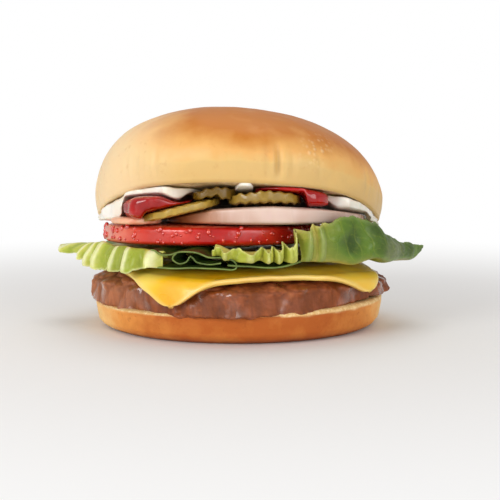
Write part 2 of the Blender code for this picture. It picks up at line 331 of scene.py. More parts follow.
def makeBunTop():
    pick = random.Random(4)
    # each crease: its place round the bun and its width in degrees, and its depth in millimetres
    spread = pick.uniform
    creases = [(pick.gauss(-76.0, 4.0), spread(0.5, 1.1), spread(0.25, 0.55)) for i in range(9)]
    creases += [(pick.gauss(-128.0, 6.0), spread(0.4, 0.9), spread(0.16, 0.4)) for i in range(7)]
    creases += [(spread(-180.0, 180.0), spread(0.5, 1.3), spread(0.08, 0.24)) for i in range(40)]

    def place(angle, reach, level):
        x = bun["radius"] * reach * math.cos(angle)
        y = bun["radius"] * reach * math.sin(angle)
        lip = bun["lip"] + 1.6 * (x / 50.0) ** 6
        z = bunTopCut(x, y) + lip * (1.0 + min(0.0, level)) + bun["dome"] * max(0.0, level)
        out = Vector((reach * math.cos(angle), reach * math.sin(angle), 1.2 * level if level > 0.0 else 0.0))
        if level <= -1.0:
            out = Vector((0.0, 0.0, -1.0))
        if out.length > 0.0:
            out.normalize()
        x -= bun["shift"] * max(0.0, level) ** 2
        swell = 0.5 * wobble(x, y, z, 24.0, 3.0) + 0.16 * wobble(x, y, z, 8.0, 5.0)
        swell += 0.04 * wobble(x, y, z, 2.4, 6.0)
        if -0.9 < level < 0.3:
            turn = math.degrees(angle)
            fade = softStep(-0.9, -0.3, level) * (1.0 - softStep(0.05, 0.3, level))
            for middle, width, depth in creases:
                away = abs((turn - middle + 180.0) % 360.0 - 180.0)
                if away < 4.0 * width:
                    swell -= depth * fade * math.exp(-(away / width) ** 2)
        drift = wobble(x, y, z, 14.0, 9.0) + 0.5 * wobble(x, y, z, 5.0, 8.0)
        # painted light: toward the left the browning is cut back and the crust made paler, as lit by the lamp
        # on the left
        turned = softStep(-47.0, -6.0, x)
        bake = softStep(-0.2, 0.55, level + 0.08 * drift) * mix(0.3, 1.0, turned) + 0.05 * drift
        bake -= 0.25 * softStep(-20.0, -46.0, x)
        bake = max(0.0, bake + 0.12 * wobble(x * 0.5, y, z * 0.2, 3.0, 12.0))
        crumb = 1.0 if level <= -0.98 else 0.0
        fromPatch = (x - bun["blisterX"]) ** 2 + (z - bun["blisterZ"]) ** 2
        blistered = math.exp(-fromPatch / bun["blisterSpread"]) if y < 0.0 else 0.0
        marks = (bake, crumb, softStep(-14.0, -46.0, x), blistered)
        return Vector((x, y, z)) + out * (swell - 0.25), marks

    bm = roundBody(bunTopProfile(), bun["segments"], place, ("bake", "crumb", "paleSide", "blistered"))
    return addPiece("bunTop", bm, makeBunMaterial(), ["bun_top"])


def makeBunMaterial():
    material, tree, shader = newMaterial("bunCrust")
    coords = objectCoords(tree)
    mottle = noiseOf(tree, coords, 90.0, 4.0, 0.55)
    fine = noiseOf(tree, coords, 420.0, 3.0, 0.6)
    bake = mathOf(tree, "ADD", markOf(tree, "bake"), rangeOf(tree, mottle, 0.3, 0.7, -0.09, 0.09))
    stops = [(0.0, bun["cream"]), (0.12, srgb(224, 184, 114)), (0.42, bun["golden"]), (0.95, bun["brown"])]
    crust = rampOf(tree, bake, stops)
    # painted light: the left side is tinted pale, as lit from the left
    crust = tintMark(tree, "paleSide", 0.7, crust, srgb(250, 222, 180))
    crust = blend(tree, rangeOf(tree, fine, 0.58, 0.75, 0.0, 0.16), crust, srgb(186, 112, 44))
    cells = addNode(tree, "ShaderNodeTexVoronoi", None, {"Vector": coords, "Scale": 560.0})
    bubbles = rangeOf(tree, cells.outputs["Distance"], 0.55, 0.1)
    blister = mathOf(tree, "MULTIPLY", markOf(tree, "blistered"), bubbles)
    crust = blend(tree, mathOf(tree, "MULTIPLY", blister, 0.6), crust, bun["blister"])
    pores = noiseOf(tree, coords, 650.0, 4.0, 0.7)
    crumb = blend(tree, rangeOf(tree, pores, 0.4, 0.65), srgb(226, 190, 132), bun["crumb"])
    paint(tree, shader, blend(tree, markOf(tree, "crumb"), crust, crumb))
    setSurface(shader, 0.42, 0.35, 0.1, 1.5)
    addGloss(tree, shader, 60.0, 0.34, 0.52)
    height = mathOf(tree, "ADD", mathOf(tree, "MULTIPLY", fine, 0.14), blister)
    addBump(tree, shader, height, 0.5, 0.5)
    return material


def makeBunBottom():
    # flat cut, round edge, wall and rounded foot, from the top down
    profile = [(reach, 1.0) for reach in (0.0, 0.3, 0.6, 0.8, 0.9, 0.95)]
    profile += [(0.972, 0.998), (0.988, 0.985), (0.997, 0.95), (1.0, 0.9)]
    profile += [(1.0 - 0.018 * (i / 12.0) ** 1.3, 0.9 - 0.05 * i) for i in range(1, 13)]
    profile += [(0.972, 0.24), (0.96, 0.17), (0.945, 0.11), (0.927, 0.06), (0.908, 0.02)]
    profile += [(reach, 0.0) for reach in (0.89, 0.7, 0.4, 0.0)]

    def place(angle, reach, level):
        x = bun["radius"] * reach * math.cos(angle)
        y = bun["radius"] * reach * math.sin(angle)
        z = level * bunBottomTop(x, y)
        swell = 0.0
        if reach > 0.9:
            swell = 0.35 * wobble(x, y, z, 16.0, 2.0) + 0.12 * wobble(x, y, 1.6 * z, 4.0, 7.0) - 0.15
            swell -= 0.10 * softStep(0.25, 0.6, wobble(x, y, 2.0 * z, 1.6, 11.0))
        away = softStep(0.15, 0.97, math.cos(angle - math.radians(-84.0)))
        tone = away + 0.18 * wobble(x, y, z, 9.0, 4.0)
        cut = level + 0.02 * wobble(x, y, 0.0, 5.0, 1.0)
        cut = cut + 0.07 * softStep(5.0, 25.0, abs(x + 6.0)) + 0.05 * softStep(5.0, 20.0, x)
        crumb = softStep(0.965, 0.995, cut)
        foot = 1.0 - softStep(0.02, 0.2, level + 0.06 * wobble(x, y, 0.0, 3.0, 5.0))
        spot = Vector((x + swell * math.cos(angle), y + swell * math.sin(angle), z))
        return spot, (max(0.0, tone), crumb, foot)

    bm = roundBody(profile, bun["segments"], place, ("tone", "crumb", "foot"))
    material, tree, shader = newMaterial("bunSide")
    coords = objectCoords(tree)
    mottle = noiseOf(tree, coords, 160.0, 4.0, 0.6)
    fine = noiseOf(tree, coords, 700.0, 3.0, 0.6)
    tone = mathOf(tree, "ADD", markOf(tree, "tone"), rangeOf(tree, mottle, 0.3, 0.7, -0.1, 0.1))
    crust = rampOf(tree, tone, [(0.0, bun["sideLight"]), (0.45, srgb(226, 150, 70)), (1.0, bun["side"])])
    crust = blend(tree, rangeOf(tree, fine, 0.6, 0.72, 0.0, 0.4), crust, bun["sideDark"])
    crust = tintMark(tree, "foot", 0.75, crust, bun["foot"])
    pores = rangeOf(tree, noiseOf(tree, coords, 600.0, 4.0, 0.7), 0.4, 0.65)
    pale = blend(tree, pores, srgb(222, 176, 112), srgb(244, 212, 156))
    paint(tree, shader, blend(tree, markOf(tree, "crumb"), crust, pale))
    setSurface(shader, 0.6, 0.25, 0.08, 1.2)
    addBump(tree, shader, fine, 0.25, 0.3)
    return addPiece("bunBottom", bm, material, ["bun_bottom"])


makeBunBottom()
makeBunTop()
print("bun made")


patty = {"segments": 420, "steps": 110, "bigLump": 9.5, "smallLump": 3.8,
         "dark": srgb(116, 58, 28), "deep": srgb(84, 38, 14), "brown": srgb(142, 72, 28),
         "warm": srgb(160, 86, 50), "rosy": srgb(186, 108, 62), "pale": srgb(196, 126, 84)}


def makePatty():
    def place(angle, reach, level):
        reach *= 1.0 + 0.014 * softStep(0.1, -0.6, level)
        x = pattyReach(angle) * reach * math.cos(angle)
        y = pattyReach(angle) * reach * math.sin(angle)
        z = mix(bunBottomTop(x, y) + layers["gap"], pattyTop(x, y), 0.5 + 0.5 * level)
        front = softStep(0.1, 0.8, math.cos(angle + math.radians(97.0)))
        z -= 1.7 * front * softStep(0.9, 0.98, reach) * softStep(0.1, -0.7, level)
        side = reach ** 6
        out = Vector((math.cos(angle) * side, math.sin(angle) * side, 0.55 * level * abs(level) ** 3))
        if out.length > 0.0:
            out.normalize()
        big = bumps(x, y, 1.2 * z, patty["bigLump"], 1.0)
        small = bumps(x, y, 1.4 * z, patty["smallLump"], 4.0)
        swell = 1.5 * (softStep(0.0, 0.8, big) - 0.7) + 0.4 * (softStep(0.0, 0.8, small) - 0.6)
        swell += 0.9 * wobble(x, y, z, 7.0, 2.0) + 0.35 * wobble(x, y, z, 2.6, 3.0)
        swell += 0.12 * wobble(x, y, z, 1.2, 5.0)
        if abs(level) > 0.9 and reach < 0.93:
            swell *= 0.35
        crease = 1.0 - softStep(0.0, 0.4, small) * softStep(0.0, 0.3, big)
        return Vector((x, y, z)) + out * (swell * 0.9 - 0.2), (crease, softStep(-24.0, -44.0, x))

    # rounder on top than at the foot
    half = patty["steps"] // 2
    profile = slabProfile(patty["steps"], 4.6)[:half] + slabProfile(patty["steps"], 13.0)[half:]
    bm = roundBody(profile, patty["segments"], place, ("crease", "paleSide"))
    material, tree, shader = newMaterial("cookedBeef")
    coords = objectCoords(tree)
    mottle = noiseOf(tree, coords, 120.0, 4.0, 0.6, 0.5)
    spots = noiseOf(tree, coords, 380.0, 3.0, 0.6)
    stops = [(0.3, patty["dark"]), (0.48, patty["brown"]), (0.62, patty["warm"]), (0.74, patty["rosy"])]
    base = rampOf(tree, mottle, stops)
    base = blend(tree, rangeOf(tree, spots, 0.55, 0.72, 0.0, 0.5), base, srgb(104, 56, 32))
    # painted light: the left end is tinted paler, as lit from the left
    base = tintMark(tree, "paleSide", 0.6, base, patty["pale"])
    # painted shade: the creases between the lumps are darkened
    base = tintMark(tree, "crease", 0.45, base, patty["deep"])
    paint(tree, shader, base)
    setSurface(shader, 0.35, 0.35, 0.08, 1.0, (1.0, 0.5, 0.25), 0.5, 0.08)
    wet = noiseOf(tree, coords, 130.0, 2.0, 0.5)
    tree.links.new(rangeOf(tree, wet, 0.45, 0.65, 0.6, 0.25), shader.inputs["Roughness"])
    tree.links.new(rangeOf(tree, wet, 0.5, 0.64, 0.0, 1.0), shader.inputs["Coat Weight"])
    addBump(tree, shader, noiseOf(tree, coords, 330.0, 3.0, 0.55), 0.5, 0.8)
    return addPiece("beefPatty", bm, material, ["patty"])


makePatty()
print("patty made")


# bend is the radius of the fold over the patty's edge, hang how steeply the slice falls past it
cheese = {"side": 82.0, "thick": 1.8, "turn": math.radians(20.0), "centre": (-1.0, -6.5),
          "cornerPull": 0.08, "cornerRound": 0.035, "bend": 4.0, "hang": math.radians(80.0), "segments": 130,
          "yellow": srgb(250, 194, 28), "pale": srgb(254, 220, 96), "deep": srgb(240, 168, 14),
          "rim": srgb(250, 214, 130)}


def makeCheese():
    def place(u, v):
        a = (u - 0.5) * 2.0
        b = (v - 0.5) * 2.0
        pull = 1.0 - cheese["cornerPull"] * abs(a * b) ** 3 - cheese["cornerRound"] * abs(a * b) ** 14
        flatX = a * 0.5 * cheese["side"] * pull
        flatY = b * 0.5 * cheese["side"] * pull
        flatX += 0.25 * wobble(flatX, flatY, 0.0, 7.0, 1.0) * abs(a) ** 6
        flatY += 0.35 * wobble(flatX, flatY, 0.0, 6.0, 2.0) * abs(b) ** 6
        turn = cheese["turn"]
        x = cheese["centre"][0] + flatX * math.cos(turn) - flatY * math.sin(turn)
        y = cheese["centre"][1] + flatX * math.sin(turn) + flatY * math.cos(turn)
        reach = math.hypot(x, y)
        angle = math.atan2(y, x)
        edge = pattyReach(angle) - 2.2
        over = max(0.0, reach - edge)
        bend = min(over / cheese["bend"], cheese["hang"])
        rest = max(0.0, over - bend * cheese["bend"])
        inner = min(reach, edge)
        out = inner + cheese["bend"] * math.sin(bend) + rest * math.cos(cheese["hang"])
        drop = cheese["bend"] * (1.0 - math.cos(bend)) + rest * math.sin(cheese["hang"])
        bed = pattyTop(inner * math.cos(angle), inner * math.sin(angle)) + layers["gap"]
        z = bed + 0.5 * cheese["thick"] - drop + 0.15
        ripple = 0.25 * wobble(flatX, flatY, 3.0, 11.0, 5.0) + 0.12 * wobble(flatX, flatY, 3.0, 4.5, 6.0)
        out += ripple * min(1.0, over / 4.0) + 0.2
        z += ripple * (1.0 - min(1.0, over / 4.0))
        rim = softStep(0.955, 0.99, max(abs(a), abs(b)))
        return Vector((out * math.cos(angle), out * math.sin(angle), z)), (rim,)

    bm = sheetBody(cheese["segments"], cheese["segments"], place, ("rim",))
    material, tree, shader = newMaterial("meltedCheese")
    coords = objectCoords(tree)
    drift = noiseOf(tree, coords, 40.0, 2.0, 0.5)
    spots = noiseOf(tree, coords, 160.0, 3.0, 0.5)
    base = rampOf(tree, drift, [(0.3, cheese["deep"]), (0.5, cheese["yellow"]), (0.7, cheese["pale"])])
    base = blend(tree, rangeOf(tree, spots, 0.5, 0.75, 0.0, 0.25), base, cheese["pale"])
    # painted highlight: a paler band along the slice's edge
    base = tintMark(tree, "rim", 0.55, base, cheese["rim"])
    paint(tree, shader, base)
    setSurface(shader, 0.3, 0.5, 0.18, 2.0, (1.0, 0.6, 0.2), 0.5, 0.16)
    addGloss(tree, shader, 55.0, 0.24, 0.42)
    addBump(tree, shader, drift, 0.12, 0.6)
    piece = addPiece("cheeseSlice", bm, material, ["cheese_slice"])
    addThickness(piece, cheese["thick"] - 0.2)
    return piece


makeCheese()
print("cheese made")


# inner is how near the middle a leaf starts, rootHeight its height there, tuck how far its ends turn in
lettuce = {"thick": 0.45, "inner": 16.0, "rootHeight": 25.2, "tuck": 4.0, "hollowDepth": 2.2,
           "veinDepth": 0.14, "rib": srgb(234, 234, 180), "pale": srgb(206, 206, 96),
           "light": srgb(158, 170, 54), "green": srgb(92, 122, 34), "deep": srgb(50, 76, 22),
           "dark": srgb(32, 44, 14)}


def makeLettuceMaterial(name, ends, ribs, veins):
    # ends: four colours from heart to outer blade; the pale rib colour is also laid on the crests of the
    # folds as a painted highlight, and along the rim; veins branch across the blade
    material, tree, shader = newMaterial(name)
    coords = objectCoords(tree)
    mottle = noiseOf(tree, coords, 110.0, 4.0, 0.55, 0.6)
    fine = noiseOf(tree, coords, 520.0, 3.0, 0.6)
    tone = mathOf(tree, "ADD", markOf(tree, "tone"), rangeOf(tree, mottle, 0.3, 0.7, -0.1, 0.1))
    base = rampOf(tree, tone, [(0.0, ends[0]), (0.33, ends[1]), (0.66, ends[2]), (1.0, ends[3])])
    base = blend(tree, rangeOf(tree, fine, 0.55, 0.75, 0.0, 0.2), base, ends[1])
    base = tintMark(tree, "vein", veins, base, lettuce["light"])
    base = tintMark(tree, "rib", ribs, base, lettuce["rib"])
    paint(tree, shader, base)
    setSurface(shader, 0.4, 0.35, 0.15, 1.0, (0.6, 1.0, 0.3))
    addGloss(tree, shader, 120.0, 0.26, 0.5)
    addBump(tree, shader, noiseOf(tree, coords, 260.0, 3.0, 0.55), 0.28, 0.5)
    return material


def catmull(a, b, c, d, t):
    square = 2.0 * a - 5.0 * b + 4.0 * c - d
    cube = 3.0 * b - a - 3.0 * c + d
    return 0.5 * (2.0 * b + (c - a) * t + square * t * t + cube * t ** 3)


def curveAt(points, t):
    last = len(points) - 1
    spot = min(max(t, 0.0), 1.0) * last
    step = min(int(spot), last - 1)
    corners = [points[max(step - 1, 0)], points[step], points[step + 1], points[min(step + 2, last)]]
    return [catmull(*values, spot - step) for values in zip(*corners)]


def veinMarks(u, v, seed):
    branch = abs(math.sin(u * 38.0 + 9.0 * v + 1.2 * wobble(u * 14.0, v * 7.0, 0.0, 1.0, seed)))
    twig = abs(math.sin(v * 46.0 - 16.0 * abs(u - 0.5) + 1.5 * wobble(u * 20.0, v * 9.0, 2.0, 1.0, seed)))
    return max(math.exp(-(branch / 0.10) ** 2), 0.6 * math.exp(-(twig / 0.12) ** 2))


def makeLeaf(name, material, node, size, path, folds, tones, seed, hollowAt=lambda u, w: 0.0):
    # a blade from under the tomato out to the rim: u runs along the rim, v and w from the root outwards
    # folds gives the waves passed, the in-out swing and the up-down swing at a share along the rim
    def place(u, v):
        angle, curve = path(u)
        scallop = 0.5 + 0.5 * wobble(u * 26.0, 0.0, seed, 1.0, seed)
        nick = 0.5 + 0.5 * wobble(u * 90.0, 0.0, seed, 1.0, seed)
        w = v * (1.0 - 0.07 * scallop - 0.02 * nick)
        if w < 0.4:
            reach = mix(lettuce["inner"], curve[0][0], w / 0.4)
            z = mix(lettuce["rootHeight"], curve[0][1], w / 0.4)
        else:
            reach, z = curveAt(curve, (w - 0.4) / 0.6)
        outer = softStep(0.38, 0.95, w)
        waves, swing, lift = folds(u)
        phase = math.tau * waves + 1.5 * wobble(u * 7.0, w * 1.5, 0.0, 1.0, seed)
        fold = math.sin(phase) + 0.4 * math.sin(2.1 * phase + 1.0 + seed)
        reach += swing * fold * outer
        crumple = 1.5 * wobble(reach * math.cos(angle), reach * math.sin(angle), 0.0, 9.0, seed)
        z += lift * math.cos(phase + 0.5 * seed) * outer ** 2 + crumple * (1.0 - outer)
        reach -= lettuce["tuck"] * (softStep(0.95, 1.0, u) + softStep(0.03, 0.0, u)) * outer
        hollow = hollowAt(u, w)
        reach -= lettuce["hollowDepth"] * hollow
        rough = 0.6 * wobble(reach * math.cos(angle), reach * math.sin(angle), z, 4.2, seed)
        rough += 0.18 * wobble(angle * 50.0, w * 30.0, z, 1.8, seed)
        vein = veinMarks(u, w, seed)
        reach += (rough - lettuce["veinDepth"] * vein) * outer
        # painted highlight: the pale rib colour is laid on the crest of each fold
        rib = math.exp(-((fold - 1.1) / 0.35) ** 2) * softStep(0.4, 0.62, w) * (1.0 - softStep(0.86, 1.0, w))
        rim = softStep(0.955, 0.99, v)
        spot = Vector((reach * math.cos(angle), reach * math.sin(angle), z))
        # painted shade: the tone is darker in the hollow
        return spot, (tones(u, w, fold) + 0.25 * hollow, vein, max(rib, 0.6 * rim))

    bm = sheetBody(size[0], size[1], place, ("tone", "vein", "rib"))
    piece = addPiece(name, bm, material, [node])
    addThickness(piece, lettuce["thick"])
    return piece


def makeFoldedEdge(name, material, nodes, points, size, front, depth, rise, seed):
    # a leaf edge that snakes across the front, running back under the tomato; points are its x and z
    def place(u, v):
        x, z = curveAt(points, u)
        reach = front + 0.9 * wobble(x * 0.16, z * 0.2, seed, 1.0, seed)
        reach += 0.25 * wobble(u * 40.0, 0.0, seed, 1.0, seed)
        y = -math.sqrt(reach * reach - x * x)
        inward = 1.0 - depth * v / reach
        z += rise * v + 0.35 * wobble(x, y * inward, z, 4.0, seed) * softStep(0.0, 0.2, v)
        z = min(z, tomatoBottom(x, y) - 0.1)
        vein = veinMarks(u, 0.4 + 0.6 * v, seed)
        rim = 1.0 - softStep(0.012, 0.06, v)
        # painted shade: darker further in from the curled edge, in under the tomato; paler along the curled
        # edge itself
        tone = 0.55 + 0.35 * softStep(0.0, 0.3, v) + 0.1 * wobble(x, y, z, 5.0, seed)
        return Vector((x * inward, y * inward, z)), (tone * (1.0 - 0.75 * rim), vein, 0.35 * rim)

    bm = sheetBody(size[0], size[1], place, ("tone", "vein", "rib"))
    piece = addPiece(name, bm, material, nodes)
    addThickness(piece, lettuce["thick"])
    return piece


# each path gives the angle round the burger and the reach and height of a few points from root to rim
def leftLeafPath(u):
    angle = math.radians(mix(-192.0, -118.5, u))
    reach = along([(0.0, 57.0), (0.08, 63.4), (0.16, 62.0), (0.3, 55.5), (0.5, 53.0), (1.0, 52.6)], u)
    low = along([(0.0, 24.5), (0.1, 25.5), (0.25, 24.0), (0.45, 21.2), (0.8, 21.6), (1.0, 24.0)], u)
    high = along([(0.0, 25.8), (0.2, 27.4), (0.5, 29.4), (1.0, 29.4)], u)
    crest = mix(47.0, reach, 0.5)
    middle = mix(low, high, 0.5)
    return angle, [(46.0, mix(25.8, high, 0.4)), (crest, high), (reach - 0.4, middle), (reach, low)]


foldEdge = [(-27.4, 29.5), (-26.2, 29.4), (-24.0, 28.3), (-21.2, 28.4), (-18.2, 29.4), (-15.4, 29.6),
            (-12.4, 29.3), (-9.0, 28.1), (-5.8, 28.0), (-3.6, 27.9), (-1.6, 27.2), (-0.4, 26.0), (-0.4, 24.7),
            (-1.8, 24.2), (-5.3, 24.5), (-9.9, 24.6), (-14.5, 24.6), (-20.6, 24.2), (-26.2, 24.2)]
curlEdge = [(-19.0, 29.0), (-20.0, 28.0), (-20.2, 26.8), (-18.2, 25.7), (-15.9, 26.4), (-14.8, 28.0),
            (-13.9, 27.6), (-12.4, 26.2), (-8.5, 25.7), (-5.0, 26.2)]
lowEdge = [(-3.0, 25.6), (0.2, 25.4), (3.6, 25.2), (7.6, 24.8), (11.0, 24.7), (14.6, 25.0), (18.0, 25.8),
           (21.5, 26.8)]


def frillLeafPath(u):
    angle = math.radians(mix(-99.0, -66.5, u))
    base = along([(0.0, 28.6), (0.3, 26.8), (1.0, 26.4)], u)
    high = along([(0.0, 31.0), (0.25, 30.6), (0.6, 30.8), (0.8, 32.0), (1.0, 36.0)], u)
    turned = mix(base, high, 0.4)
    return angle, [(44.0, base + 2.2), (47.4, base + 0.8), (50.2, base), (51.4, turned), (51.0, high)]


def rightLeafPath(u):
    angle = math.radians(mix(-67.0, 2.0, u))
    low = along([(0.0, 26.1), (0.45, 25.2), (0.7, 23.6), (0.8, 22.6), (0.92, 24.6), (1.0, 24.8)], u)
    high = along([(0.0, 37.2), (0.1, 38.6), (0.2, 39.9), (0.3, 40.4), (0.42, 39.0), (0.54, 33.6),
                  (0.66, 30.6), (0.85, 27.8), (1.0, 26.6)], u)
    reach = along([(0.0, 52.2), (0.3, 54.6), (0.6, 57.0), (0.78, 60.0), (0.9, 62.6), (1.0, 57.0)], u)
    crest = reach + mix(2.4, -1.2, softStep(2.0, 9.0, high - low))
    middle = mix(low, high, 0.5)
    return angle, [(reach - 5.0, low + 0.3), (reach, low + 0.6), (reach + 1.0, middle), (crest, high)]


def backLeafPath(u):
    angle = math.radians(mix(6.0, 164.0, u))
    reach = 53.0 + 1.4 * math.sin(9.0 * angle)
    lift = 1.0 * math.sin(14.0 * angle)
    return angle, [(44.0, 24.9), (48.5, 25.3 + 0.3 * lift), (reach, 25.0 + lift), (reach + 1.6, 24.2 + lift)]


def makeLettuce():
    paleEnds = [lettuce["rib"], lettuce["pale"], lettuce["light"], srgb(150, 160, 52)]
    # the folded leaves are dark green, painted darker still as the shade between their folds
    darkEnds = [srgb(120, 140, 60), lettuce["deep"], lettuce["dark"], lettuce["deep"]]
    frillEnds = [srgb(222, 214, 120), srgb(196, 190, 84), srgb(170, 176, 62), srgb(206, 206, 104)]
    greenEnds = [srgb(190, 178, 88), srgb(124, 136, 46), lettuce["green"], srgb(56, 80, 20)]
    paleLeaf = makeLettuceMaterial("lettucePale", paleEnds, 0.8, 0.25)
    darkLeaf = makeLettuceMaterial("lettuceDarkShaded", darkEnds, 0.1, 0.2)
    frillLeaf = makeLettuceMaterial("lettuceFrill", frillEnds, 0.3, 0.2)
    greenLeaf = makeLettuceMaterial("lettuceGreen", greenEnds, 0.12, 0.3)

    def leftTone(u, w, fold):
        # the fold term paints the crests paler and the troughs darker, as painted light and shade on the
        # folds
        return 0.40 + 0.36 * softStep(0.35, 0.75, u) - 0.2 * fold - 0.3 * softStep(0.86, 0.95, u)

    def frillTone(u, w, fold):
        return 0.2 + 0.4 * softStep(0.6, 0.8, w) + 0.35 * softStep(0.9, 0.97, w)

    def rightTone(u, w, fold):
        # the fold term paints one side of each fold darker, as painted shade on the folds
        blade = 0.66 * softStep(0.5, 0.72, w) * softStep(0.05, 0.3, u)
        return 0.2 + blade + 0.14 * fold - 0.2 * softStep(0.92, 0.98, w)

    def leftFolds(u):
        return 7.6 * u + 0.22 * math.sin(17.0 * u), mix(0.5, 1.4, softStep(0.2, 0.6, u)), 0.5

    def frillFolds(u):
        return 5.4 * u + 0.2 + 0.35 * math.sin(9.0 * u), 1.7, mix(0.6, 1.1, softStep(0.1, 0.4, u))

    def rightFolds(u):
        return 1.2 * softStep(0.0, 0.12, u) + 1.8 * u, mix(1.1, 0.75, softStep(0.1, 0.25, u)), 0.5

    def backFolds(u):
        return 10.0 * u, 0.7, 0.6

    def rightHollow(u, w):
        return math.exp(-((u - 0.27 - 0.25 * (w - 0.75)) / 0.075) ** 2 - ((w - 0.76) / 0.1) ** 2)

    makeLeaf("lettuceLeft", paleLeaf, "lettuce_left", (280, 100),
             leftLeafPath, leftFolds, leftTone, 1.3)
    makeLeaf("lettuceFrill", frillLeaf, "lettuce_frill", (220, 90),
             frillLeafPath, frillFolds, frillTone, 3.7)
    makeLeaf("lettuceRight", greenLeaf, "lettuce_right", (300, 110),
             rightLeafPath, rightFolds, rightTone, 4.2, rightHollow)
    makeLeaf("lettuceBack", greenLeaf, "lettuce_back", (320, 60),
             backLeafPath, backFolds, rightTone, 5.5)
    makeFoldedEdge("lettuceFold", darkLeaf, ["lettuce_fold"], foldEdge, (260, 50), 50.9, 15.0, 0.6, 2.1)
    makeFoldedEdge("lettuceCurl", darkLeaf, [], curlEdge, (160, 40), 50.2, 9.0, 0.4, 6.3)
    makeFoldedEdge("lettuceLow", darkLeaf, [], lowEdge, (140, 50), 50.6, 15.0, 2.2, 7.7)


makeLettuce()
print("lettuce made")


tomato = {"radius": 37.5, "centre": (-8.8, -5.0), "drops": 100, "dropSize": (0.35, 0.95),
          "skin": srgb(200, 20, 10), "deep": srgb(168, 8, 4), "flesh": srgb(224, 76, 50)}
onion = {"radius": 33.5, "centre": (9.0, -11.5), "ringWidth": 3.6, "grooveDepth": 0.3,
         "white": srgb(222, 196, 182), "pink": srgb(200, 162, 144), "stain": srgb(176, 112, 62)}


def tomatoReach(angle):
    return tomato["radius"] + 0.35 * math.sin(5.0 * angle + 0.6)


def makeTomato():
    def place(angle, reach, level):
        x, y = onCircle(tomato["centre"], tomatoReach(angle) * reach, angle)
        z = mix(tomatoBottom(x, y), tomatoTop(x, y), 0.5 + 0.5 * level)
        swell = 0.12 * wobble(x, y, z, 5.0, 1.0) + 0.05 * wobble(x, y, z, 1.6, 2.0) - 0.05
        flesh = softStep(0.985, 0.93, reach) if abs(level) > 0.8 else 0.0
        # painted light: the left end is paler, as lit by the lamp on the left
        pale = softStep(-29.0, -43.0, x) * (0.6 + 0.4 * wobble(x, y, z, 3.0, 4.0))
        return pushedOut(x, y, z, swell, angle, reach), (flesh, pale)

    bm = roundBody(slabProfile(60, 7.0), 220, place, ("flesh", "pale"))
    material, tree, shader = newMaterial("tomato")
    coords = objectCoords(tree)
    drift = noiseOf(tree, coords, 70.0, 3.0, 0.5)
    skin = rampOf(tree, drift, [(0.32, tomato["deep"]), (0.52, tomato["skin"]), (0.72, srgb(226, 62, 38))])
    cells = rangeOf(tree, noiseOf(tree, coords, 200.0, 3.0, 0.6), 0.4, 0.6)
    inside = blend(tree, cells, tomato["flesh"], srgb(236, 128, 92))
    across = addNode(tree, "ShaderNodeSeparateXYZ", None, {"Vector": coords}).outputs["X"]
    # painted light: the skin turns lighter orange-red toward the left and pale pink at the left end
    skin = blend(tree, rangeOf(tree, across, -0.005, -0.04, 0.0, 0.6), skin, srgb(232, 70, 44))
    skin = blend(tree, markOf(tree, "pale"), skin, srgb(246, 156, 124))
    paint(tree, shader, blend(tree, markOf(tree, "flesh"), skin, inside))
    setSurface(shader, 0.2, 0.5, 0.15, 2.0, (1.0, 0.3, 0.15), 0.35, 0.06)
    addGloss(tree, shader, 90.0, 0.1, 0.32)
    addBump(tree, shader, noiseOf(tree, coords, 230.0, 3.0, 0.5), 0.4, 0.7)
    return addPiece("tomatoSlice", bm, material, ["tomato_slice"])


def makeDroplets():
    # four in five sit on the front of the skin
    pick = random.Random(11)
    bm = bmesh.new()
    for i in range(tomato["drops"]):
        turn = pick.uniform(-185.0, -12.0) if i % 5 else pick.uniform(0.0, 360.0)
        angle = math.radians(turn)
        level = pick.uniform(-0.6, 0.75)
        size = pick.uniform(*tomato["dropSize"]) * pick.uniform(0.55, 1.0)
        profile = (1.0 - abs(level) ** 7.0) ** (1.0 / 7.0)
        x, y = onCircle(tomato["centre"], tomatoReach(angle) * profile - 0.05, angle)
        z = mix(tomatoBottom(x, y), tomatoTop(x, y), 0.5 + 0.5 * level)
        made = bmesh.ops.create_icosphere(bm, subdivisions=2, radius=size)["verts"]
        bmesh.ops.scale(bm, vec=(1.0, 1.0, pick.uniform(0.9, 1.5)), verts=made)
        bmesh.ops.translate(bm, vec=Vector((x, y, z)), verts=made)
    material, tree, shader = newMaterial("waterDrop")
    coords = objectCoords(tree)
    drift = rangeOf(tree, noiseOf(tree, coords, 300.0, 2.0, 0.5), 0.4, 0.6)
    tint = blend(tree, drift, srgb(204, 28, 18), srgb(222, 56, 38))
    paint(tree, shader, tint)
    setSurface(shader, 0.06, 1.0, 0.1, 1.0, (1.0, 0.4, 0.3), 1.0, 0.03)
    return addPiece("tomatoDroplets", bm, material, ())


